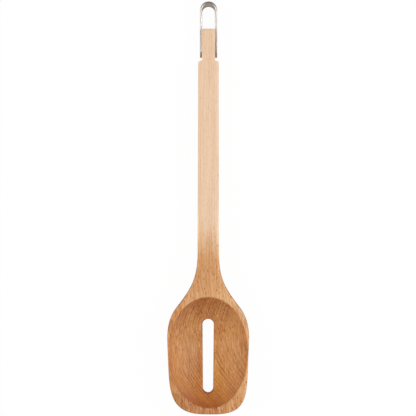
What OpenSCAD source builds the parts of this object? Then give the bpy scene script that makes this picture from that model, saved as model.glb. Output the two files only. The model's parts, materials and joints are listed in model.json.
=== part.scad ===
// Slotted serving spoon: a beech spoon with a steel hanging loop riveted to the end of its handle.
// X runs across, Y runs along towards the loop, and Z is up. The spoon lies at rest on its bowl and
// on the lower edge of the loop, with the hollow facing up.

/* [Bowl] */
// Width of the bowl at its widest place
bowl_w = 63.4; // [52:0.2:76]
// From the widest place to the tip
nose_len = 59.2; // [48:0.2:72]
// From the widest place up to where the neck begins
flare_len = 67.6; // [56:0.2:82]
// Depth of the hollow below the rim
hollow_depth = 12.5; // [9:0.5:16]
// Wood under the deepest place of the hollow
floor_t = 4.5; // [3:0.1:7]
// Flat rim between the hollow and the tip
tip_rim = 4.4; // [2:0.1:8]
// Rim left between the hollow and the side at the widest place
side_rim = 0.4; // [0.2:0.1:3]
// Solid wood between the hollow and the start of the neck
heel_len = 36; // [28:0.5:44]
// How far the tip leans to the right of the handle's middle
tip_lean = 1.4; // [0:0.1:2.5]
// Height of the wood at the tip
nose_t = 3.6; // [2.5:0.1:6]
// Rounding of the bowl's upper edge
lip_r = 1; // [0.4:0.1:1.6]
// How much the rounded back is flattened where the bowl rests
rest_cut = 0.35; // [0.1:0.05:0.8]

/* [Slot] */
// Length of the slot, over its round ends
slot_len = 57.2; // [40:0.2:66]
// Width of the slot at its end nearer the handle
slot_heel_w = 8.9; // [5:0.1:12]
// Width of the slot at its end nearer the tip
slot_tip_w = 8; // [5:0.1:12]
// How far the slot's middle lies beyond the hollow's, towards the tip
slot_shift = 3.8; // [0:0.1:6]

/* [Handle] */
// Length of the handle, from the neck to the shoulders
handle_len = 146.7; // [110:0.1:190]
// Width of the handle at the shoulders
handle_w = 16.3; // [14.5:0.1:20]
// Width of the handle where the neck begins
neck_w = 16.6; // [14.5:0.1:21]
// Thickness of the handle
handle_t = 11.4; // [9:0.1:13]
// Rounding of the handle's upper edges
handle_r = 2.4; // [1:0.1:3.5]
// Rounding of the shoulders' edge
shoulder_r = 0.9; // [0.3:0.1:1.5]

/* [Tongue] */
// Length of the tongue, from the shoulders to its end
tongue_len = 25.2; // [23:0.2:34]
// Width of the tongue
tongue_w = 10.2; // [8:0.1:11.5]
// Rounding of the tongue's long edges
tongue_edge_r = 0.5; // [0.3:0.1:1.5]
// Rounding of the tongue's two far corners, seen from above
tongue_corner_r = 1.3; // [0.5:0.1:2.5]

/* [Hanging loop] */
// How far the loop reaches past the tongue
loop_reach = 21.4; // [12:0.2:30]
// Thickness of the steel strip
strip_t = 1.6; // [0.8:0.05:1.8]
// Width of the steel strip
strip_w = 11; // [7:0.1:12.5]
// Space between a leg's round end and the shoulder
leg_end_gap = 3.6; // [0.3:0.1:5]

/* [Rivets] */
// Diameter of the two rivets
rivet_d = 3; // [2:0.1:4]
// Distance between the two rivets
rivet_pitch = 10.5; // [8:0.5:13]

/* [Hidden] */
$fn = 96;

// Overrun of every cut past the wood that it goes through
overrun = 2;

// Share of the widening that is left, against the share of the way from the widest place to the neck
flare_shares = [[0, 1], [0.06, 0.991], [0.12, 0.97], [0.21, 0.904], [0.3, 0.777], [0.4, 0.561],
                [0.5, 0.358], [0.6, 0.195], [0.7, 0.091], [0.8, 0.032], [0.9, 0.006], [1, 0]];
// The nose narrows a little on its way to the blunt tip
nose_taper_share = 0.07;
// Roundness of the nose's outline: a higher first number squares its corners, a higher second its end
nose_round_shares = [6.4, 0.336];
// How late the lean sets in: a higher number keeps it nearer to the tip
lean_power_share = 4;
// Roundness of the underside's section, in the bowl and in the handle: 2 is an ellipse
bowl_round_share = 2.4;
handle_round_share = 4.5;
// The last section of the nose stops this share short of the tip, where the wood would have no width
tip_stop_share = 0.0005;

// Sections along the nose, the flare, the handle and its rounded end, and points round a section
nose_steps = 18;
flare_steps = 20;
handle_steps = 8;
end_steps = 3;
corner_steps = 3;
back_steps = 20;

// Places along the spoon, measured from the tip of the bowl
neck_y = nose_len + flare_len;
shoulder_y = neck_y + handle_len;
tongue_y = shoulder_y + tongue_len;
spoon_len = tongue_y + loop_reach;
hollow_len = neck_y - tip_rim - heel_len;
hollow_w = bowl_w - 2 * side_rim;
hollow_y = tip_rim + hollow_len / 2;
slot_y = hollow_y - slot_shift;
bowl_h = hollow_depth + floor_t;

// The hollow is part of a ring: one radius along the spoon, a smaller one across it
hollow_along_r = (pow(hollow_len / 2, 2) + pow(hollow_depth, 2)) / (2 * hollow_depth);
hollow_across_r = (pow(hollow_w / 2, 2) + pow(hollow_depth, 2)) / (2 * hollow_depth);

// The loop's arc joins its two straight legs
loop_out_r = tongue_w / 2 + strip_t;
arc_y = spoon_len - loop_out_r;
lower_rivet_y = shoulder_y + leg_end_gap + strip_w / 2;
upper_rivet_y = lower_rivet_y + rivet_pitch;

// At rest the handle slopes down a little, until the loop's lower edge is level with the bowl's
loop_low = (handle_t + strip_w) / 2;
rest_tilt = atan((bowl_h - rest_cut - loop_low) / (spoon_len - hollow_y));
rest_shift = [0, -spoon_len * cos(rest_tilt) / 2, spoon_len * sin(rest_tilt) + loop_low * cos(rest_tilt)];

function mix(a, b, t) = a + (b - a) * t;
function ease(t) = t * t * (3 - 2 * t);

// Slope of a table of points at point i, from its neighbours
function slope(table, i) =
    let (a = max(i - 1, 0), b = min(i + 1, len(table) - 1))
    (table[b][1] - table[a][1]) / (table[b][0] - table[a][0]);

// Smooth curve through a table of points
function smooth(table, t) =
    let (
        i = max([for (k = [0 : len(table) - 2]) if (table[k][0] <= t) k]),
        span = table[i + 1][0] - table[i][0],
        u = (t - table[i][0]) / span,
        rise = table[i + 1][1] - table[i][1]
    )
    table[i][1] + rise * ease(u)
    + span * u * (1 - u) * (slope(table, i) * (1 - u) - slope(table, i + 1) * u);

// Half the width of the wood at a distance y from the tip
function half_w(y) =
    y < nose_len
    ? let (t = 1 - y / nose_len)
      bowl_w / 2 * (1 - nose_taper_share * t) * pow(1 - pow(t, nose_round_shares[0]), nose_round_shares[1])
    : y < neck_y
    ? mix(neck_w / 2, bowl_w / 2, smooth(flare_shares, (y - nose_len) / flare_len))
    : mix(neck_w / 2, handle_w / 2, ease((y - neck_y) / handle_len));

// How far the middle of the wood lies to the right at a distance y from the tip
function lean(y) = tip_lean * pow(max(1 - y / nose_len, 0), lean_power_share);

// Height of the wood at a distance y from the tip
function depth(y) =
    y < hollow_y
    ? mix(bowl_h, nose_t, pow(1 - y / hollow_y, 2))
    : y < neck_y
    ? mix(bowl_h, handle_t, ease((y - hollow_y) / (neck_y - hollow_y)))
    : handle_t;

// How much a section has of the bowl's character, and not of the handle's
function bowl_share(y) =
    y < nose_len ? 1 : y < neck_y ? smooth(flare_shares, (y - nose_len) / flare_len) : 0;

// One section of the wood, drawn in by inset at each side
function section(y, inset = 0) =
    let (
        w = half_w(y) - inset,
        x = lean(y),
        low = depth(y),
        r = mix(handle_r, lip_r, bowl_share(y)),
        n = 2 / mix(handle_round_share, bowl_round_share, bowl_share(y))
    )
    concat(
        [for (i = [0 : corner_steps - 1]) let (a = 90 * i / corner_steps)
            [x + w - r + r * sin(a), y, -r + r * cos(a)]],
        [for (i = [0 : back_steps]) let (a = 180 * i / back_steps)
            [x + w * sign(cos(a)) * pow(abs(cos(a)), n), y, -r - (low - r) * pow(sin(a), n)]],
        [for (i = [corner_steps - 1 : -1 : 0]) let (a = 90 * i / corner_steps)
            [x - w + r - r * sin(a), y, -r + r * cos(a)]]
    );

nose_sections = [for (i = [0 : nose_steps])
    let (t = sin(90 * i / nose_steps)) section(nose_len * max(1 - t, tip_stop_share))];
flare_sections = [for (i = [1 : flare_steps]) section(nose_len + flare_len * i / flare_steps)];
handle_sections = [for (i = [1 : handle_steps])
    section(neck_y + (handle_len - shoulder_r) * i / handle_steps)];
end_sections = [for (i = [1 : end_steps])
    let (a = 80 * i / end_steps)
    section(shoulder_y - shoulder_r * (1 - sin(a)), shoulder_r * (1 - cos(a)))];
sections = concat(
    [for (i = [nose_steps : -1 : 0]) nose_sections[i]],
    flare_sections, handle_sections, end_sections, [section(tongue_y, shoulder_r)]);

// Lays the level spoon down at rest
module at_rest() {
    translate(rest_shift) rotate([-rest_tilt, 0, 0]) children();
}

// Skin over a row of sections, closed at both ends
module skin(rows) {
    n = len(rows[0]);
    last = (len(rows) - 1) * n;
    faces = concat(
        [[for (j = [0 : n - 1]) j]],
        [for (i = [0 : len(rows) - 2], j = [0 : n - 1])
            let (a = i * n + j, b = i * n + (j + 1) % n)
            each [[a, b + n, b], [a, a + n, b + n]]],
        [[for (j = [n - 1 : -1 : 0]) last + j]]
    );
    polyhedron([for (row = rows) each row], faces);
}

// Upright shape from an outline seen from above, between two heights
module upright(low, high) {
    translate([0, 0, low]) linear_extrude(high - low) children();
}

// Shape from an outline in Y and Z, centred across the spoon
module sideways(w) {
    translate([-w / 2, 0, 0]) rotate([90, 0, 90]) linear_extrude(w) children();
}

// What rounding a corner at the origin, of material below and to the left of it, takes away
module corner_waste(r) {
    difference() {
        translate([-r, -r]) square(r + overrun);
        translate([-r, -r]) circle(r);
    }
}

// What is cut from the handle's end to leave the tongue
module tongue_waste() {
    reach = tongue_len + 2 * overrun;
    for (side = [0, 1]) mirror([side, 0, 0]) {
        translate([tongue_w / 2, shoulder_y, -handle_t - overrun])
            cube([handle_w, reach, handle_t + 2 * overrun]);
        upright(-handle_t - overrun, overrun)
            translate([tongue_w / 2, tongue_y]) corner_waste(tongue_corner_r);
        for (z = [0, 1]) translate([0, shoulder_y + reach, -handle_t * z])
            rotate([90, 0, 0]) linear_extrude(reach)
            translate([tongue_w / 2, 0]) mirror([0, z]) corner_waste(tongue_edge_r);
    }
}

// What is carved out of the bowl
module hollow() {
    ring_r = hollow_along_r - hollow_across_r;
    translate([0, hollow_y, hollow_along_r - hollow_depth]) rotate([0, 90, 0]) rotate_extrude()
        intersection() {
            translate([ring_r, 0]) circle(hollow_across_r);
            translate([0, -hollow_across_r]) square([hollow_along_r, 2 * hollow_across_r]);
        }
}

// The slot, a little narrower towards the tip
module slot() {
    heel_r = slot_heel_w / 2;
    tip_r = slot_tip_w / 2;
    heel_y = slot_y + slot_len / 2 - heel_r;
    tip_y = slot_y - slot_len / 2 + tip_r;
    lean = asin((heel_r - tip_r) / (heel_y - tip_y));
    upright(-bowl_h - overrun, overrun) {
        translate([0, heel_y]) circle(heel_r);
        translate([0, tip_y]) circle(tip_r);
        polygon([for (side = [-1, 1], end = [-side, side])
            let (r = end < 0 ? tip_r : heel_r, y = end < 0 ? tip_y : heel_y)
            [side * r * cos(lean), y - r * sin(lean)]]);
    }
}

// A rivet, or its hole, across the spoon at half the handle's thickness
module cross_pin(y, w) {
    translate([-w / 2, y, -handle_t / 2]) rotate([0, 90, 0]) cylinder(h = w, d = rivet_d);
}

// The wood: bowl, neck, handle and tongue in one piece
module spoon_body() {
    color([0.87, 0.70, 0.52]) difference() {
        at_rest() difference() {
            skin(sections);
            tongue_waste();
            hollow();
            slot();
            for (y = [lower_rivet_y, upper_rivet_y]) cross_pin(y, tongue_w + 2 * overrun);
        }
        translate([-bowl_w / 2, -spoon_len / 2, -bowl_h]) cube([bowl_w, spoon_len, bowl_h]);
    }
}

// The steel strip: an arc and two legs with round ends
module hanging_loop() {
    color([0.72, 0.70, 0.68]) at_rest() difference() {
        intersection() {
            upright(-loop_low, strip_w - loop_low) difference() {
                union() {
                    translate([0, arc_y]) circle(loop_out_r);
                    translate([-loop_out_r, shoulder_y]) square([2 * loop_out_r, arc_y - shoulder_y]);
                }
                translate([0, arc_y]) circle(tongue_w / 2);
                translate([-tongue_w / 2, shoulder_y - overrun])
                    square([tongue_w, arc_y - shoulder_y + overrun]);
            }
            sideways(2 * (loop_out_r + overrun)) {
                translate([lower_rivet_y, -handle_t / 2]) circle(strip_w / 2);
                translate([lower_rivet_y, -loop_low]) square([spoon_len + overrun - lower_rivet_y, strip_w]);
            }
        }
        for (y = [lower_rivet_y, upper_rivet_y]) cross_pin(y, 2 * (loop_out_r + overrun));
    }
}

// The pin at the centre of the legs' round ends, flush with the legs
module lower_rivet() {
    color([0.62, 0.60, 0.58]) at_rest() cross_pin(lower_rivet_y, 2 * loop_out_r);
}

// The pin nearer the end of the tongue, flush with the legs
module upper_rivet() {
    color([0.62, 0.60, 0.58]) at_rest() cross_pin(upper_rivet_y, 2 * loop_out_r);
}

spoon_body();
hanging_loop();
lower_rivet();
upper_rivet();
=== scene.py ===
# Slotted beech serving spoon with a riveted steel hanging loop, lying on a white table
import json
import math
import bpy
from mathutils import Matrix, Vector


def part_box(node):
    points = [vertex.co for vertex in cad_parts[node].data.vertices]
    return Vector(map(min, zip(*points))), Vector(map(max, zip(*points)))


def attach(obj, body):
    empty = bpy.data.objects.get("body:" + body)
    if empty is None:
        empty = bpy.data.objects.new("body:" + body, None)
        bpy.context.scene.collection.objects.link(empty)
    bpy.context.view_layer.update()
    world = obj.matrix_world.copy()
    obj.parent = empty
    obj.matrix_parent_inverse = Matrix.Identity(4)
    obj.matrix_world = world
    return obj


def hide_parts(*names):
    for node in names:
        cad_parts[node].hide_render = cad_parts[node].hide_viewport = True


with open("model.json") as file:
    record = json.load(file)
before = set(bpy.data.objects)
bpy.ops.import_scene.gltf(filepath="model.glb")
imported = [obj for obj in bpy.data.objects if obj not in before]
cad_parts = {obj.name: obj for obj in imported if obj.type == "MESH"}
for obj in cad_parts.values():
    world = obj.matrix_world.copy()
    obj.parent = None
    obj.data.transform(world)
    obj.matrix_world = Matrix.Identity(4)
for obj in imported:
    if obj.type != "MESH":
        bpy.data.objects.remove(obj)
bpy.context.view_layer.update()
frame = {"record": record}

import types
import bpy
import bmesh

mm = 0.001
weld = 0.002 * mm                   # corners closer than this are joined
softBelow = math.radians(35)        # steel edges flatter than this are shaded smooth
boreSides = 64                      # of the rivets and their bores

# Sizes are those of the level spoon: y runs from the tip of the bowl, z = 0 is its upper face
spoon = {
    "noseLength": 59.2 * mm,        # tip to the widest place
    "flareLength": 67.6 * mm,       # widest place to the neck
    "handleLength": 146.7 * mm,
    "tongueLength": 25.2 * mm,
    "loopReach": 21.4 * mm,         # loop beyond the wood
    "neckWidth": 16.6 * mm,
    "handleWidth": 16.3 * mm,
    "handleThickness": 11.4 * mm,
    "bowlHeight": 17 * mm,
    "noseHeight": 3.6 * mm,
    "lipRadius": 1 * mm,
    "handleRadius": 2.4 * mm,
    "shoulderRadius": 0.9 * mm,
    "tipLean": 1.4 * mm,            # how far the tip lies to the right
    "leanPower": 4,
    "noseTaper": 0.07,
    "noseSquareness": 6.4,
    "noseBluntness": 0.336,
    "bowlRoundness": 2.4,
    "handleRoundness": 4.5,
    "voxel": 0.54 * mm,             # fineness of the sanded surface
    "sanding": 2,                   # smoothing passes over it
    "sandingShare": 0.5,            # how far each pass goes
}
hollow = {
    "depth": 12.5 * mm,
    "tipRim": 4.4 * mm,
    "sideRim": 0.4 * mm,
    "heelLength": 36 * mm,
    "acrossSides": 200,
    "alongSteps": 240,
}
slot = {
    "length": 57.2 * mm,
    "heelWidth": 8.9 * mm,
    "tipWidth": 8 * mm,
    "shift": 3.8 * mm,              # from the middle of the hollow towards the tip
    "sides": 96,                    # of its two round ends together
}
tongue = {
    "width": 10.2 * mm,
    "edge": 0.5 * mm,
    "corner": 1.3 * mm,
    "root": 12 * mm,                # hidden length inside the handle
}
loop = {
    "thickness": 1.6 * mm,
    "width": 11 * mm,
    "edge": 0.7 * mm,               # rounding of the strip's long edges
    "endGap": 3.6 * mm,             # between a leg's round end and the shoulder
    "endTurns": (86, 81, 75, 68, 60, 52, 44, 36, 28, 20, 12, 5, 0),  # degrees round a leg's end
    "legSteps": 8,
    "arcSteps": 40,
}
rivet = {
    "diameter": 3 * mm,
    "pitch": 10.5 * mm,
    "edge": 0.22 * mm,
    "rim": 0.45,                    # widths of the rim and of the slope inside it,
    "slope": 0.3,                   # as shares of the radius
    "dish": 0.08 * mm,
    "seam": 0.05 * mm,              # dark hairline round the head
}

# Places that follow from the sizes, and how the spoon lies at rest
bowlLow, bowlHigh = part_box("spoon_body")
bowlWidth = bowlHigh[0] - bowlLow[0]
neckY = spoon["noseLength"] + spoon["flareLength"]
shoulderY = neckY + spoon["handleLength"]
tongueY = shoulderY + spoon["tongueLength"]
spoonLength = tongueY + spoon["loopReach"]
hollowLength = neckY - hollow["tipRim"] - hollow["heelLength"]
hollowY = hollow["tipRim"] + hollowLength / 2
middleZ = -spoon["handleThickness"] / 2
loopRadius = tongue["width"] / 2 + loop["thickness"]
arcY = spoonLength - loopRadius
lowerRivetY = shoulderY + loop["endGap"] + loop["width"] / 2
rivetPlaces = {"lower": lowerRivetY, "upper": lowerRivetY + rivet["pitch"]}

eye = next(mount for mount in frame["record"]["mounts"] if mount["name"] == "hanging_eye")
restTilt = math.atan2(eye["axis"][1], eye["axis"][2])
stripLow = (spoon["handleThickness"] + loop["width"]) / 2
restShift = (
    0,
    -spoonLength * math.cos(restTilt) / 2,
    spoonLength * math.sin(restTilt) + stripLow * math.cos(restTilt),
)


def mix(a, b, t):
    return a + (b - a) * t


def ease(t):
    return t * t * (3 - 2 * t)


def atRest(y, z=0):
    # a place on the level spoon, moved to where it lies on the table
    return (restShift[1] + y * math.cos(restTilt) + z * math.sin(restTilt),
            restShift[2] - y * math.sin(restTilt) + z * math.cos(restTilt))


def pick(piece):
    bpy.ops.object.select_all(action="DESELECT")
    piece.select_set(True)
    bpy.context.view_layer.objects.active = piece


def startPiece(name):
    piece = bpy.context.object
    piece.name = piece.data.name = name
    bpy.ops.object.transform_apply(location=True, rotation=True, scale=True)
    bpy.ops.object.mode_set(mode="EDIT")
    bpy.ops.mesh.select_all(action="SELECT")
    return piece


def leaveEdit():
    bpy.ops.mesh.select_all(action="SELECT")
    bpy.ops.mesh.remove_doubles(threshold=weld)
    bpy.ops.mesh.normals_make_consistent(inside=False)
    bpy.ops.object.mode_set(mode="OBJECT")


def chooseIn(piece, kind, wanted):
    # in edit mode: selects only the vertices, edges or faces that pass the test
    bpy.ops.mesh.select_mode(type=kind)
    bpy.ops.mesh.select_all(action="DESELECT")
    mesh = bmesh.from_edit_mesh(piece.data)
    for part in {"VERT": mesh.verts, "EDGE": mesh.edges, "FACE": mesh.faces}[kind]:
        if wanted(part):
            part.select_set(True)
    mesh.select_flush_mode()
    bmesh.update_edit_mesh(piece.data)


def finishWith(piece, kind, **settings):
    modifier = piece.modifiers.new(kind.title(), kind)
    for name, value in settings.items():
        setattr(modifier, name, value)
    pick(piece)
    bpy.ops.object.modifier_apply(modifier=modifier.name)


def combine(piece, operation, *others):
    for other in others:
        finishWith(piece, "BOOLEAN", object=other, operation=operation, solver="EXACT")
        bpy.data.objects.remove(other)


def layAtRest(piece):
    pick(piece)
    piece.rotation_euler.x = -restTilt
    piece.location = restShift
    bpy.ops.object.transform_apply(location=True, rotation=True, scale=True)


# Share of the widening that is left, from the bowl's widest place (0) to the neck (1)
flare = [(0, 1), (0.06, 0.991), (0.12, 0.97), (0.21, 0.904), (0.3, 0.777), (0.4, 0.561),
         (0.5, 0.358), (0.6, 0.195), (0.7, 0.091), (0.8, 0.032), (0.9, 0.006), (1, 0)]


def flareSlope(i):
    a, b = max(i - 1, 0), min(i + 1, len(flare) - 1)
    return (flare[b][1] - flare[a][1]) / (flare[b][0] - flare[a][0])


def flareShare(y):
    t = min(max((y - spoon["noseLength"]) / spoon["flareLength"], 0), 1)
    i = max(k for k in range(len(flare) - 1) if flare[k][0] <= t)
    span = flare[i + 1][0] - flare[i][0]
    u = (t - flare[i][0]) / span
    rise = flare[i + 1][1] - flare[i][1]
    bend = flareSlope(i) * (1 - u) - flareSlope(i + 1) * u
    return flare[i][1] + rise * ease(u) + span * u * (1 - u) * bend


def halfWidth(y):
    if y < spoon["noseLength"]:
        t = 1 - y / spoon["noseLength"]
        blunt = (1 - t ** spoon["noseSquareness"]) ** spoon["noseBluntness"]
        return bowlWidth / 2 * (1 - spoon["noseTaper"] * t) * blunt
    if y < neckY:
        return mix(spoon["neckWidth"] / 2, bowlWidth / 2, flareShare(y))
    along = (y - neckY) / spoon["handleLength"]
    return mix(spoon["neckWidth"] / 2, spoon["handleWidth"] / 2, ease(along))


def depthAt(y):
    if y < hollowY:
        return mix(spoon["bowlHeight"], spoon["noseHeight"], (1 - y / hollowY) ** 2)
    if y < neckY:
        t = ease((y - hollowY) / (neckY - hollowY))
        return mix(spoon["bowlHeight"], spoon["handleThickness"], t)
    return spoon["handleThickness"]


def ringAt(y, inset=0, cornerSteps=6, backSteps=44):
    # one section of the wood: a rounded upper edge, the back from side to side, the other edge
    w = halfWidth(y) - inset
    low = depthAt(y)
    share = flareShare(y)
    r = mix(spoon["handleRadius"], spoon["lipRadius"], share)
    power = 2 / mix(spoon["handleRoundness"], spoon["bowlRoundness"], share)
    turns = [math.pi / 2 * i / cornerSteps for i in range(cornerSteps)]
    corner = [(w - r + r * math.sin(a), -r + r * math.cos(a)) for a in turns]
    back = []
    for i in range(backSteps + 1):
        a = math.pi * i / backSteps
        side = math.cos(a)
        x = math.copysign(w * abs(side) ** power, side)
        back.append((x, -r - (low - r) * max(math.sin(a), 0) ** power))
    return corner + back + [(-x, z) for x, z in reversed(corner)]


def ringPlaces(noseSteps=34, flareSteps=44, handleSteps=40, endSteps=5, tipStop=0.0004):
    # (y, inset) of every section from the tip to the rounded shoulders
    nose, flareLength = spoon["noseLength"], spoon["flareLength"]
    r = spoon["shoulderRadius"]
    swings = [math.sin(math.pi / 2 * i / noseSteps) for i in range(noseSteps, -1, -1)]
    places = [(nose * max(1 - swing, tipStop), 0) for swing in swings]
    places += [(nose + flareLength * i / flareSteps, 0) for i in range(1, flareSteps + 1)]
    straight = spoon["handleLength"] - r
    places += [(neckY + straight * i / handleSteps, 0) for i in range(1, handleSteps + 1)]
    for i in range(1, endSteps + 1):
        a = math.pi / 2 * i / endSteps
        places.append((shoulderY - r * (1 - math.sin(a)), r * (1 - math.cos(a))))
    return places


def addBlank():
    # the spoon before it is hollowed: one ring drawn out from the tip to the shoulders
    bpy.ops.object.select_all(action="DESELECT")
    bpy.ops.mesh.primitive_circle_add(vertices=len(ringAt(neckY)), radius=5 * mm, fill_type="NGON",
                                      rotation=(math.pi / 2, 0, 0))
    blank = startPiece("woodenSpoon")
    lastY = 0
    for y, inset in ringPlaces():
        if lastY:
            bpy.ops.mesh.extrude_region_move(TRANSFORM_OT_translate={"value": (0, y - lastY, 0)})
        mesh = bmesh.from_edit_mesh(blank.data)
        ring = [vertex for vertex in mesh.verts if vertex.select]
        for vertex, (x, z) in zip(ring, ringAt(y, inset)):
            vertex.co = (x, y, z)
        bmesh.update_edit_mesh(blank.data)
        lastY = y
    leaveEdit()
    return blank


def addHollow():
    # the hollow is cut by an arc that swings round an axis high above the bowl
    depth = hollow["depth"]
    halfAcross = bowlWidth / 2 - hollow["sideRim"]
    alongRadius = ((hollowLength / 2) ** 2 + depth ** 2) / (2 * depth)
    acrossRadius = (halfAcross ** 2 + depth ** 2) / (2 * depth)
    axis = (0, hollowY, alongRadius - depth)
    bpy.ops.object.select_all(action="DESELECT")
    bpy.ops.mesh.primitive_circle_add(vertices=hollow["acrossSides"], radius=acrossRadius,
                                      rotation=(math.pi / 2, 0, 0),
                                      location=(0, hollowY, acrossRadius - depth))
    cutter = startPiece("hollowCutter")
    bpy.ops.mesh.bisect(plane_co=axis, plane_no=(0, 0, 1), clear_outer=True)
    bpy.ops.mesh.select_all(action="SELECT")
    bpy.ops.mesh.spin(steps=hollow["alongSteps"], angle=2 * math.pi, center=axis, axis=(1, 0, 0))
    leaveEdit()
    return cutter


def addSlot():
    # a round plate, whose heel half is widened and drawn away from the tip half
    tipRadius, heelRadius = slot["tipWidth"] / 2, slot["heelWidth"] / 2
    slotY = hollowY - slot["shift"]
    tipY = slotY - slot["length"] / 2 + tipRadius
    heelY = slotY + slot["length"] / 2 - heelRadius
    reach = 2 * spoon["bowlHeight"]
    bpy.ops.object.select_all(action="DESELECT")
    bpy.ops.mesh.primitive_circle_add(vertices=slot["sides"], radius=tipRadius, fill_type="NGON",
                                      location=(0, tipY, -reach))
    cutter = startPiece("slotCutter")
    bpy.ops.mesh.extrude_region_move(TRANSFORM_OT_translate={"value": (0, 0, 2 * reach)})
    chooseIn(cutter, "VERT", lambda vertex: vertex.co.y > tipY + 0.01 * mm)
    ratio = heelRadius / tipRadius
    bpy.ops.transform.resize(value=(ratio, ratio, 1), center_override=(0, tipY, 0))
    bpy.ops.transform.translate(value=(0, heelY - tipY, 0))
    leaveEdit()
    return cutter


def addTongue():
    # starts inside the handle, where the two are joined
    bpy.ops.object.select_all(action="DESELECT")
    size = (tongue["width"], spoon["tongueLength"] + tongue["root"], spoon["handleThickness"])
    bpy.ops.mesh.primitive_cube_add(size=1, location=(0, tongueY - size[1] / 2, middleZ), scale=size)
    piece = startPiece("tongue")

    def isEndCorner(edge):
        a, b = (vertex.co for vertex in edge.verts)
        return min(a.y, b.y) > tongueY - 0.1 * mm and abs(a.z - b.z) > 1 * mm

    def isLongEdge(edge):
        a, b = (vertex.co for vertex in edge.verts)
        return abs(a.z - b.z) < 0.01 * mm and edge.calc_face_angle(0) > math.radians(60)

    chooseIn(piece, "EDGE", isEndCorner)
    bpy.ops.mesh.bevel(offset=tongue["corner"], segments=6)
    chooseIn(piece, "EDGE", isLongEdge)
    bpy.ops.mesh.bevel(offset=tongue["edge"], segments=4)
    leaveEdit()
    return piece


def addCrossHole(y, radius):
    bpy.ops.object.select_all(action="DESELECT")
    bpy.ops.mesh.primitive_cylinder_add(vertices=boreSides, radius=radius, depth=2 * tongue["width"],
                                        rotation=(0, math.pi / 2, 0), location=(0, y, middleZ))
    piece = startPiece("crossHole")
    leaveEdit()
    return piece


def leanNose(piece):
    for vertex in piece.data.vertices:
        towardsTip = max(1 - vertex.co.y / spoon["noseLength"], 0)
        vertex.co.x += spoon["tipLean"] * towardsTip ** spoon["leanPower"]


def makeSpoon():
    piece = addBlank()
    combine(piece, "UNION", addTongue())
    combine(piece, "DIFFERENCE", addHollow())
    leanNose(piece)
    holes = [addCrossHole(y, rivet["diameter"] / 2) for y in rivetPlaces.values()]
    combine(piece, "DIFFERENCE", addSlot(), *holes)
    layAtRest(piece)
    # sanding: an even fine surface, smoothed so that its edges ease
    finishWith(piece, "REMESH", mode="VOXEL", voxel_size=spoon["voxel"], use_smooth_shade=True)
    finishWith(piece, "SMOOTH", factor=spoon["sandingShare"], iterations=spoon["sanding"])
    # the two small flats that it rests on
    bpy.ops.object.mode_set(mode="EDIT")
    chooseIn(piece, "VERT", lambda vertex: vertex.co.z < 0)
    bpy.ops.transform.resize(value=(1, 1, 0), center_override=(0, 0, 0))
    bpy.ops.object.mode_set(mode="OBJECT")
    bpy.ops.object.shade_smooth()
    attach(piece, "root")
    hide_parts("spoon_body")
    print("spoon:", len(piece.data.polygons), "faces")
    return piece


def makeLoop():
    # the strip's section, drawn up one leg, round the arc and down the other leg
    t, w = loop["thickness"], loop["width"]
    start = ((tongue["width"] + t) / 2, lowerRivetY - w / 2, middleZ)
    bpy.ops.object.select_all(action="DESELECT")
    bpy.ops.mesh.primitive_plane_add(size=w, rotation=(math.pi / 2, 0, 0), location=start)
    piece = startPiece("steelLoop")
    bpy.ops.transform.resize(value=(t / w, 1, 1), center_override=start)
    bpy.ops.mesh.bevel(offset=loop["edge"], segments=5, affect="VERTICES")
    bpy.ops.mesh.select_all(action="SELECT")
    turns = [math.radians(a) for a in loop["endTurns"]]
    bpy.ops.transform.resize(value=(1, 1, math.cos(turns[0])), center_override=start)

    def drawOn(step, ratio):
        bpy.ops.mesh.extrude_region_move(TRANSFORM_OT_translate={"value": (0, step, 0)})
        bpy.ops.transform.resize(value=(1, 1, ratio), center_override=(0, 0, middleZ))

    for a, b in zip(turns, turns[1:]):
        drawOn(w / 2 * (math.sin(a) - math.sin(b)), math.cos(b) / math.cos(a))
    legStep = (arcY - lowerRivetY) / loop["legSteps"]
    for i in range(loop["legSteps"]):
        drawOn(legStep, 1)
    bpy.ops.mesh.spin(steps=loop["arcSteps"], angle=math.pi, center=(0, arcY, middleZ), axis=(0, 0, -1))
    for i in range(loop["legSteps"]):
        drawOn(-legStep, 1)
    back = turns[::-1]
    for a, b in zip(back, back[1:]):
        drawOn(-w / 2 * (math.sin(b) - math.sin(a)), math.cos(b) / math.cos(a))
    leaveEdit()
    seamRadius = rivet["diameter"] / 2 + rivet["seam"]
    combine(piece, "DIFFERENCE", *[addCrossHole(y, seamRadius) for y in rivetPlaces.values()])
    layAtRest(piece)
    bpy.ops.object.shade_smooth_by_angle(angle=softBelow)
    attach(piece, "root")
    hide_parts("hanging_loop")
    print("loop:", len(piece.data.polygons), "faces")
    return piece


def makeRivet(name, y):
    # ends flush with the strip, with a small rounded edge and a dished middle
    bpy.ops.object.select_all(action="DESELECT")
    radius = rivet["diameter"] / 2
    bpy.ops.mesh.primitive_cylinder_add(vertices=boreSides, radius=radius, depth=2 * loopRadius,
                                        rotation=(0, math.pi / 2, 0), location=(0, y, middleZ))
    piece = startPiece(name + "Rivet")

    def isRim(edge):
        atEnd = all(abs(abs(vertex.co.x) - loopRadius) < 0.001 * mm for vertex in edge.verts)
        return atEnd and edge.calc_face_angle(0) > math.radians(80)

    chooseIn(piece, "FACE", lambda face: abs(face.normal.x) > 0.9)
    bpy.ops.mesh.inset(thickness=radius * rivet["rim"], use_individual=True)
    bpy.ops.mesh.inset(thickness=radius * rivet["slope"], depth=-rivet["dish"], use_individual=True)
    chooseIn(piece, "EDGE", isRim)
    bpy.ops.mesh.bevel(offset=rivet["edge"], segments=4)
    leaveEdit()
    layAtRest(piece)
    bpy.ops.object.shade_smooth_by_angle(angle=softBelow)
    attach(piece, "root")
    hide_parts(name + "_rivet")
    print(name, "rivet done")
    return piece


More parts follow.
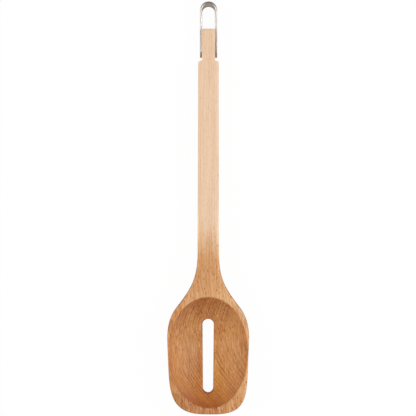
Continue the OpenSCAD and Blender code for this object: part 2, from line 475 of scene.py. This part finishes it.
class Wire:
    # one socket of a node tree; sums on it add Math nodes
    def __init__(self, tree, socket=None):
        self.tree = tree
        self.socket = socket

    def node(self, kind, inputs, output=0, **settings):
        made = self.tree.nodes.new("ShaderNode" + kind)
        for name, value in settings.items():
            setattr(made, name, value)
        for name, value in inputs.items():
            if isinstance(value, Wire):
                self.tree.links.new(value.socket, made.inputs[name])
            else:
                made.inputs[name].default_value = value
        return Wire(self.tree, made.outputs[output] if made.outputs else None)

    def maths(self, operation, *others):
        return self.node("Math", dict(enumerate((self, *others))), operation=operation)

    def __add__(self, other):
        return self.maths("ADD", other)

    def __sub__(self, other):
        return self.maths("SUBTRACT", other)

    def __rsub__(self, other):
        return self.maths("MULTIPLY_ADD", -1, other)

    def __mul__(self, other):
        return self.maths("MULTIPLY", other)

    def __truediv__(self, other):
        return self.maths("DIVIDE", other)

    def __pow__(self, other):
        return self.maths("POWER", other)

    __radd__ = __add__
    __rmul__ = __mul__

    def between(self, low, high, toLow=0.0, toHigh=1.0):
        # how far the value is on its way from low to high, eased at both ends
        inputs = {"Value": self, "From Min": low, "From Max": high, "To Min": toLow, "To Max": toHigh}
        return self.node("MapRange", inputs, interpolation_type="SMOOTHSTEP")

    def cover(self, colour, share, how="MIX"):
        # by this share towards another colour
        return self.node("Mix", {0: share, 6: self, 7: colour}, 2, data_type="RGBA", blend_type=how)

    def tint(self, colour, share):
        # by this share towards itself times the colour
        return self.cover(colour, share, "MULTIPLY")

    def steps(self, x, y, z):
        # coordinates counted in steps of this size, in mm
        rates = (1 / (x * mm), 1 / (y * mm), 1 / (z * mm))
        return self.node("VectorMath", {0: self, 1: rates}, operation="MULTIPLY")

    def noise(self, detail=2.0, roughness=0.5):
        return self.node("TexNoise", {"Vector": self, "Scale": 1.0, "Detail": detail,
                                      "Roughness": roughness})

    def dots(self, outer, inner):
        # one soft dot in each step
        return self.node("TexVoronoi", {"Vector": self, "Scale": 1.0}).between(outer, inner)

    def axis(self, index):
        return self.node("SeparateXYZ", {0: self}, index)


def startNodes(owner):
    owner.use_nodes = True
    owner.node_tree.nodes.clear()
    return Wire(owner.node_tree)


def colour(red, green, blue):
    # a colour as a picture editor shows it, 0 to 255, made into what a shader takes
    levels = [level / 255 for level in (red, green, blue)]
    return (*[v / 12.92 if v < 0.04 else ((v + 0.055) / 1.055) ** 2.4 for v in levels], 1)


beech = {
    "pale": colour(233, 203, 174),          # handle
    "tan": colour(213, 159, 102),           # neck
    "honey": colour(225, 174, 119),         # bowl
    "bright": colour(240, 209, 173),        # pale threads
    "column": (0.94, 0.86, 0.76, 1),        # this and the next ten change the tone under them
    "rosy": (0.93, 0.87, 1.00, 1),          # faint pinkish patches
    "band": (0.90, 0.83, 0.76, 1),          # broad dark bands near the heel
    "lateWood": (0.45, 0.27, 0.13, 1),
    "rayEnd": (0.72, 0.48, 0.28, 1),
    # painted shade on the bowl's rounded edges
    "rimEdgeShade": (0.82, 0.60, 0.38, 1),
    # end grain is darker; this also paints shade on faces turned along the spoon
    "endGrainAndShade": (0.66, 0.44, 0.26, 1),
    "rightSideLight": (0.88, 0.93, 1.00, 1),     # painted light, paler where the surface turns to the right
    "leftSideShade": (1.05, 1.02, 0.95, 1),      # painted shade, warmer where it turns to the left
    "tongueEdgeHighlight": (1.22, 1.16, 1.12, 1),      # painted highlight that lightens the edges of the tongue
    # painted highlight on the rounded edges of the neck
    "neckEdgeHighlight": (1.24, 1.36, 1.30, 1),
    "paleFrom": 153 * mm,                   # from the tip
    "tanUpTo": 112 * mm,
    "tanFrom": 106 * mm,
    "honeyUpTo": 84 * mm,
    "streakReach": 20 * mm,                 # how far streaks shift that change along the spoon
    "driftReach": 16 * mm,
    "columnShare": 0.45,
    "heartX": -34 * mm,                     # where the middle of the tree was
    "heartZ": 40 * mm,
    "bendFrom": 100 * mm,                   # nearer the tip the fibres run aside
    "bend": 0.1,                            # by this share of the way
    "layerSlope": 0.09,                     # and the growth layers sink under them
    "layerWidth": 1.3 * mm,
    "layerDrift": 0.9 * mm,                 # how far the layers wander, slowly
    "layerWaver": 0.15 * mm,                # and quickly
    "lineHandle": 0.2,                      # how strong the layers' dark lines are on the handle
    "lineBowl": 0.2,                        # and how much more in the bowl
    "lineHollow": 0.6,                      # and inside the hollow
    "beltAlong": 59 * mm,                   # the lines are faint in a belt across the bowl
    "beltSlant": 0.45,
    "busyHandle": 0.48,                     # how strong fibres and ray ends are on the handle
    "busyBowl": 0.72,                       # and how much more in the bowl
    "threadShare": 0.6,
    "brightShare": 0.3,
    "bandsFrom": 62 * mm,                   # dark bands grow from here
    "bandsFull": 80 * mm,
    "rosyBowl": 0.4,                        # how much of the pinkish patches in the bowl
    "rosyHollow": 0.6,                      # and how much more inside the hollow
    "dashShare": 0.45,
    "bowlDashShare": 0.3,                   # more of the dashes in the bowl
    "prickShare": 0.45,
    "roughness": 0.5,
    "reliefDepth": 0.05 * mm,

    # steps in mm of what varies: round the growth rings, along the fibres, out from the heart
    "steps": {
        "drift": (16, 90, 16),
        "waver": (3, 22, 5),
        "streaks": (1.1, 34, 1.6),
        "columns": (1.8, 60, 2.5),
        "patches": (17, 42, 17),
        "bands": (12, 60, 1.7),
        "lineStrength": (12, 90, 2.4),
        "threads": (0.5, 14, 0.8),
        "dashes": (0.95, 4.8, 9),
        "pricks": (0.6, 2.6, 6),
    },

    # the left rim takes on this share of the hollow's colour, over these windows in mm
    "leftRimShare": 0.8,
    "leftRim": {"sideways": [(-14, -22)], "along": [(106, 92), (10, 30)]},

    # tones in places: tint, what it lies on, and windows in mm over which it grows from none to all,
    # or from one share to another
    "places": {
        "hollow": ((0.79, 0.62, 0.335), "inside", {"height": [(-4, -12, 1, 0.9)]}),
        "heelWall": ((0.99, 1.06, 1.22), "inside", {"along": [(60, 80)]}),
        "lowHollow": ((0.99, 0.89, 0.47), "inside", {"along": [(54, 20)]}),
        "tipHollow": ((1.03, 1.07, 1.17), "inside", {"along": [(28, 5)]}),
        "tipRim": ((0.73, 0.57, 0.40), "rim", {"along": [(45, 15)], "sideways": [(26, 8, 0.4, 1)]}),
        "leftShoulder": ((1.17, 1.19, 1.14), "flat",
                         {"sideways": [(-14, -20)], "along": [(68, 77), (102, 94)]}),
        "rightShoulder": ((0.85, 0.81, 0.82), "flat",
                          {"sideways": [(14, 20)], "along": [(60, 70), (88, 82)]}),
        "paleStreak": ((1.03, 1.11, 1.21), "flat",
                       {"sideways": [(10, 16)], "along": [(84, 89), (114, 100)]}),
        "heartSide": ((0.95, 0.94, 0.94), "bowl", {"outward": [(68, 46)]}),
        "plainPatch": ((0.90, 0.89, 0.89), "anywhere",
                       {"sideways": [(-24, -14), (-1, -6)], "along": [(72, 60), (25, 38)]}),
        # painted shade deep in the hollow at the slot's heel end
        "slotHeelShade": ((0.91, 0.82, 0.80), "dip",
                     {"sideways": [(-13, -5), (19, 11)], "along": [(50, 62), (84, 76)]}),
        # painted shade in the hollow beside the slot's left edge
        "slotSideShade": ((0.94, 0.89, 0.82), "dip",
                     {"sideways": [(-9.5, -6), (1, -1)], "along": [(20, 30), (64, 56)]}),
        "leftStreak": ((1.03, 1.08, 1.22), "dip",
                       {"sideways": [(-15, -12.5), (-7, -9.5)], "along": [(58, 48), (18, 26)]}),
        "rightStreak": ((1.03, 1.08, 1.22), "dip",
                        {"sideways": [(2, 4.5), (10, 7.5)], "along": [(46, 38), (18, 26)]}),
    },
}


def within(wood, windows):
    # how far a place is inside all of the windows
    share = 1
    for name, spans in windows.items():
        for low, high, *shares in spans:
            share = share * getattr(wood, name).between(low * mm, high * mm, *shares)
    return share


def grainNoise(grain, name, *detail):
    # noise drawn out along the fibres
    return grain.steps(*beech["steps"][name]).noise(*detail)


def readWood(start):
    # back to the level spoon: y from the tip, z from the upper face
    wood = types.SimpleNamespace(start=start)
    zeroY, zeroZ = atRest(0)
    back = (0, zeroZ * math.sin(restTilt) - zeroY * math.cos(restTilt),
            -zeroY * math.sin(restTilt) - zeroZ * math.cos(restTilt))
    place = start.node("TexCoord", {}, "Object")
    level = start.node("Mapping", {"Vector": place, "Location": back, "Rotation": (restTilt, 0, 0)})
    wood.sideways, wood.along, wood.height = (level.axis(i) for i in range(3))
    facing = start.node("TexCoord", {}, "Normal")
    wood.turned, wood.across = facing.axis(0), facing.axis(1)
    wood.upright = facing.axis(2).maths("ABSOLUTE")

    # wood coordinates: x round the growth rings, y along the fibres, z out from the heart
    wood.bent = (beech["bendFrom"] - wood.along).maths("MAXIMUM", 0)
    aside = wood.sideways - beech["heartX"] - wood.bent * beech["bend"]
    under = beech["heartZ"] - wood.height
    wood.outward = (aside * aside + under * under) ** 0.5
    wood.around = aside.maths("ARCTAN2", under) * beech["heartZ"]
    wood.grain = start.node("CombineXYZ", {0: wood.around, 1: wood.along, 2: wood.outward})
    wood.drift = grainNoise(wood.grain, "drift")

    # what a tone can lie on
    wood.bowl = wood.along.between(neckY + 30 * mm, neckY - 20 * mm)
    wood.dip = wood.height.between(-0.15 * mm, -0.9 * mm)
    wood.flat = 1 - wood.dip
    leftRim = within(wood, beech["leftRim"]) * beech["leftRimShare"]
    wood.inside = wood.dip.maths("MAXIMUM", leftRim) * wood.bowl
    wood.rim = 1 - wood.inside
    wood.anywhere = 1
    return wood


def layPlainTone(wood):
    # pale handle, tan neck and honey bowl, with the first change drawn out in streaks
    streaks = grainNoise(wood.grain, "streaks", 3, 0.6)
    shifted = wood.along + (streaks - 0.5) * beech["streakReach"] + (wood.drift - 0.5) * beech["driftReach"]
    paleness = shifted.between(beech["tanUpTo"], beech["paleFrom"])
    tone = wood.start.node("Mix", {0: paleness, 6: beech["tan"], 7: beech["pale"]}, 2, data_type="RGBA")
    columns = grainNoise(wood.grain, "columns").between(0.3, 0.7)
    tone = tone.tint(beech["column"], columns * beech["columnShare"])
    return tone.cover(beech["honey"], wood.along.between(beech["tanFrom"], beech["honeyUpTo"]))


def layPlacedTones(wood, tone):
    for tint, ground, windows in beech["places"].values():
        share = getattr(wood, ground) * within(wood, windows)
        tone = tone.tint((*tint, 1), share)
    return tone


def layRosyPatches(wood, tone):
    # pinkish patches, stronger nearer the heart and in the hollow
    patches = grainNoise(wood.grain, "patches", 3).between(0.4, 0.62)
    share = patches * wood.outward.between(72 * mm, 54 * mm, 0.3, 0.9)
    share = share * wood.bowl * (beech["rosyBowl"] + beech["rosyHollow"] * wood.inside)
    return tone.tint(beech["rosy"], share)


def layGrowthLayers(wood, tone):
    # each layer ends in a line of dark late wood
    waver = grainNoise(wood.grain, "waver")
    layers = wood.outward - wood.bent * beech["layerSlope"]
    layers = layers + (wood.drift - 0.5) * beech["layerDrift"] + (waver - 0.5) * beech["layerWaver"]
    layered = wood.start.node("CombineXYZ", {0: wood.around, 1: wood.along, 2: layers})
    bands = grainNoise(layered, "bands", 1).between(0.4, 0.6) * wood.inside
    tone = tone.tint(beech["band"], bands * wood.along.between(beech["bandsFrom"], beech["bandsFull"]))

    phase = (layers / beech["layerWidth"]).maths("FRACT")
    wood.late = phase ** 1.4 * phase.between(1, 0.84)
    strength = grainNoise(wood.grain, "lineStrength", 1).between(0.35, 0.62, 0.2, 1)
    fromBelt = (wood.along - wood.sideways * beech["beltSlant"] - beech["beltAlong"]).maths("ABSOLUTE")
    strength = strength * fromBelt.between(6 * mm, 27 * mm, 0.25, 1)
    grown = beech["lineHandle"] + beech["lineBowl"] * wood.bowl + beech["lineHollow"] * wood.inside
    strength = strength * grown
    return tone.tint(beech["lateWood"], wood.late * strength)


def layFibres(wood, tone):
    # busiest on the rim near the tip, calmest on the handle
    rimBusy = wood.rim * wood.bowl * wood.along.between(60 * mm, 15 * mm, 0.9, 1.5)
    busy = wood.along.between(15 * mm, 60 * mm, 0.5, 1).maths("MAXIMUM", rimBusy)
    busy = busy * (beech["busyHandle"] + wood.bowl * beech["busyBowl"])

    # fine light and dark threads
    wood.threads = grainNoise(wood.grain, "threads", 3, 0.65)
    dark = wood.threads.between(0.48, 0.75) * busy * beech["threadShare"]
    tone = tone.tint(beech["rayEnd"], dark)
    tone = tone.cover(beech["bright"], wood.threads.between(0.5, 0.28) * busy * beech["brightShare"])

    # ray ends: short dark dashes along the fibres, and finer ones between them
    wood.dashes = wood.grain.steps(*beech["steps"]["dashes"]).dots(0.36, 0.1)
    wood.pricks = wood.grain.steps(*beech["steps"]["pricks"]).dots(0.38, 0.1)
    dashShare = beech["dashShare"] + beech["bowlDashShare"] * wood.bowl
    tone = tone.tint(beech["rayEnd"], wood.dashes * busy * dashShare)
    return tone.tint(beech["rayEnd"], wood.pricks * busy * beech["prickShare"])


def layEdges(wood, tone):
    # painted shade on rounded edges by how far they turn from the upper face, then painted highlights,
    # painted light and shade by side, and end grain that is partly painted shade
    dark = wood.upright.between(0.93, 0.6) * wood.along.between(92 * mm, 66 * mm)
    tone = tone.tint(beech["rimEdgeShade"], dark)
    rounded = wood.upright.between(0.99, 0.9) * wood.upright.between(0.05, 0.4)
    # painted highlight on the tongue's rounded edges
    tongueHighlight = wood.along.between(shoulderY - 4 * mm, shoulderY) * rounded
    tone = tone.tint(beech["tongueEdgeHighlight"], tongueHighlight)
    # painted highlight on the neck's rounded edges
    neck = within(wood, {"along": [(82, 92), (165, 135)]}) * rounded * wood.upright.between(0.96, 0.78)
    tone = tone.tint(beech["neckEdgeHighlight"], neck)
    # painted light on edges turned to the right, painted shade on edges turned to the left
    sides = wood.rim * rounded
    tone = tone.tint(beech["rightSideLight"], wood.turned.between(0.15, 0.6) * sides)
    tone = tone.tint(beech["leftSideShade"], wood.turned.between(-0.15, -0.6) * sides)
    # darker end grain, partly painted shade, on faces turned along the spoon
    endGrainAndShade = (wood.across * wood.across).between(0, 0.36)
    return tone.tint(beech["endGrainAndShade"], endGrainAndShade)


def beechMaterial():
    material = bpy.data.materials.new("oiledBeech")
    wood = readWood(startNodes(material))
    tone = layPlainTone(wood)
    for lay in (layPlacedTones, layRosyPatches, layGrowthLayers, layFibres, layEdges):
        tone = lay(wood, tone)
    # threads stand up, and ray ends and late wood are sunk
    relief = wood.threads * 0.6 - wood.dashes * 0.5 - wood.pricks * 0.3 - wood.late * 0.3
    bump = {"Strength": 0.5, "Distance": beech["reliefDepth"], "Height": relief}
    surface = wood.start.node("BsdfPrincipled", {
        "Base Color": tone,
        "Roughness": beech["roughness"] + (wood.threads - 0.5) * 0.25 + wood.dashes * 0.08,
        "Normal": wood.start.node("Bump", bump),
        "IOR": 1.45,
    })
    wood.start.node("OutputMaterial", {"Surface": surface})
    return material


steel = {
    "light": colour(217, 210, 204),
    "shade": colour(168, 159, 151),
    "bright": (1.18, 1.18, 1.19, 1),        # painted highlight on the edge of the free legs, between the wood and the arc
    "shadeBesideWood": (0.57, 0.52, 0.50, 1),          # painted shade on the edge beside the wood
    "shadeBesideWoodShare": 0.5,                       # how much of it
    "lowerShadeBesideWoodShare": 0.45,                 # and how much more low on the right leg
    "arc": (0.87, 0.82, 0.80, 1),           # painted shade: the top of the arc is a little darker
    "grazing": (0.35, 0.33, 0.32, 1),       # what is left of the reflection at a flat angle
    "roughness": 0.3,
    "line": 0.11 * mm,                      # spacing of the polishing lines
    "lineLength": 14 * mm,
    "lineDepth": 0.02 * mm,
    "cloudStep": (9, 9, 9),                 # in mm
}


def steelMaterial(name, polishLines):
    material = bpy.data.materials.new(name)
    start = startNodes(material)
    place = start.node("TexCoord", {}, "Object")
    lines = polishLines(start, place).noise(4, 0.7)
    cloud = place.steps(*steel["cloudStep"]).noise()
    shaded = lines.between(0.35, 0.7)
    tone = start.node("Mix", {0: shaded, 6: steel["light"], 7: steel["shade"]}, 2, data_type="RGBA")

    # painted highlight on the strip's edge on the free legs and painted reflection at the ends of the arc,
    # and painted shade on it beside the wood
    x, y = place.axis(0), place.axis(1)
    woodEnd, arcStart = atRest(tongueY)[0], atRest(arcY)[0]
    onEdge = start.node("TexCoord", {}, "Normal").axis(2).maths("ABSOLUTE").between(0.3, 0.8)
    free = y.between(woodEnd, woodEnd + 2 * mm) * y.between(arcStart + 2 * mm, arcStart - 3 * mm)
    arcEnds = x.maths("ABSOLUTE").between(3 * mm, 5.5 * mm) * y.between(arcStart - mm, arcStart + mm)
    tone = tone.tint(steel["bright"], (free * onEdge).maths("MAXIMUM", arcEnds))
    # painted shade on the edge beside the wood, more of it low on the right leg
    lower = y.between(woodEnd - 5 * mm, woodEnd - 9 * mm) * x.between(0, 5 * mm)
    share = lower * steel["lowerShadeBesideWoodShare"] + steel["shadeBesideWoodShare"]
    beside = y.between(woodEnd + mm, woodEnd - 3 * mm) * share
    tone = tone.tint(steel["shadeBesideWood"], beside * onEdge)
    # painted shade on the top of the arc
    tone = tone.tint(steel["arc"], y.between(arcStart + 2 * mm, arcStart + 6 * mm))
    surface = start.node("BsdfPrincipled", {
        "Base Color": tone,
        "Roughness": steel["roughness"] + (lines - 0.5) * 0.35 + (cloud - 0.5) * 0.12,
        "Normal": start.node("Bump", {"Strength": 0.35, "Distance": steel["lineDepth"], "Height": lines}),
        "Metallic": 1.0,
        "Specular Tint": steel["grazing"],
    })
    start.node("OutputMaterial", {"Surface": surface})
    return material


def alongStrip(start, place):
    # the lines follow the strip up its legs and round its arc
    x, y, z = (place.axis(i) for i in range(3))
    past = (y - atRest(arcY, middleZ)[0]).maths("MAXIMUM", 0)
    fromMiddle = (x * x + past * past) ** 0.5
    return start.node("CombineXYZ", {0: fromMiddle / steel["line"], 1: y / steel["lineLength"],
                                     2: z / steel["line"]})


def roundHead(start, place):
    # the lines run round the middle of each rivet head
    x, y, z = (place.axis(i) for i in range(3))
    rings = []
    for middle in rivetPlaces.values():
        centreY, centreZ = atRest(middle, middleZ)
        rings.append(((y - centreY) ** 2 + (z - centreZ) ** 2) ** 0.5)
    nearest = rings[0].maths("MINIMUM", rings[1])
    return start.node("CombineXYZ", {0: nearest / steel["line"], 1: x / steel["lineLength"]})


def dress(piece, material):
    piece.data.materials.clear()
    piece.data.materials.append(material)


# The photograph is taken from straight above, 0.62 m over the table
view = {
    "height": 0.62,
    "centreX": -0.25 * mm,
    "centreY": -0.92 * mm,
    "roll": 0.08,                   # degrees
    "focalPixels": 782.5,
    "imagePixels": 416,
    "sensor": 36,
    "nearest": 0.01,                # what is closer isn't seen
}


def addCamera():
    camera = bpy.data.objects.new("camera", bpy.data.cameras.new("camera"))
    bpy.context.collection.objects.link(camera)
    camera.location = (view["centreX"], view["centreY"], view["height"])
    camera.rotation_euler.z = math.radians(view["roll"])
    camera.data.sensor_width = view["sensor"]
    camera.data.lens = view["sensor"] * view["focalPixels"] / view["imagePixels"]
    camera.data.clip_start = view["nearest"]
    bpy.context.scene.camera = camera


studio = {
    "tableSize": 12,
    "tableColour": (0.95, 0.95, 0.95, 1),
    "tableGlow": 0.97,              # share of plain white in what is seen of the table
    "sides": 1.0,                   # brightness of the room, low at the sides
    "front": 0.45,                  # low in front and behind
    "ceiling": 0.3,
    "sidesUpTo": 0.2,               # heights between which the sides pass into the ceiling
    "ceilingFrom": 0.7,
    "boxWidth": 0.55,
    "boxLength": 1.1,
    "boxDistance": 0.8,
    "boxHeight": 0.66,
    "leftPower": 5.8,
    "rightPower": 8.3,
}


def addTable():
    bpy.ops.object.select_all(action="DESELECT")
    bpy.ops.mesh.primitive_plane_add(size=studio["tableSize"], location=(0, 0, 0))
    table = bpy.context.object
    table.name = "table"
    material = bpy.data.materials.new("whiteTable")
    start = startNodes(material)
    matt = start.node("BsdfDiffuse", {"Color": studio["tableColour"]})
    white = start.node("Emission", {"Strength": 1.0})
    camera, glossy, through = (start.node("LightPath", {}, "Is " + kind + " Ray")
                               for kind in ("Camera", "Glossy", "Transmission"))
    share = camera.maths("MAXIMUM", glossy).maths("MAXIMUM", through) * studio["tableGlow"]
    both = start.node("MixShader", {0: share, 1: matt, 2: white})
    start.node("OutputMaterial", {"Surface": both})
    table.data.materials.append(material)


def addRoom():
    world = bpy.data.worlds.new("studioRoom")
    bpy.context.scene.world = world
    start = startNodes(world)
    direction = start.node("TexCoord", {}, "Generated")
    aside, up = direction.axis(0), direction.axis(2)
    low = (aside * aside).between(0, 1, studio["front"], studio["sides"])
    level = up.between(studio["sidesUpTo"], studio["ceilingFrom"], low, studio["ceiling"])
    glow = start.node("Background", {"Color": (1, 1, 1, 1), "Strength": level})
    start.node("OutputWorld", {"Surface": glow})


def addSoftbox(name, side, power):
    data = bpy.data.lights.new(name, "AREA")
    data.shape = "RECTANGLE"
    data.size, data.size_y = studio["boxWidth"], studio["boxLength"]
    data.energy = power
    lamp = bpy.data.objects.new(name, data)
    bpy.context.collection.objects.link(lamp)
    lamp.location = (side * studio["boxDistance"], 0, studio["boxHeight"])
    lamp.rotation_euler.y = side * math.atan2(studio["boxDistance"], studio["boxHeight"])


bpy.context.scene.view_settings.view_transform = "Standard"
addCamera()
addTable()
addRoom()
addSoftbox("leftBox", -1, studio["leftPower"])
addSoftbox("rightBox", 1, studio["rightPower"])
print("studio done")

dress(makeSpoon(), beechMaterial())
dress(makeLoop(), steelMaterial("brushedStrip", alongStrip))
headSteel = steelMaterial("turnedHead", roundHead)
for rivetName, rivetY in rivetPlaces.items():
    dress(makeRivet(rivetName, rivetY), headSteel)
print("materials done")
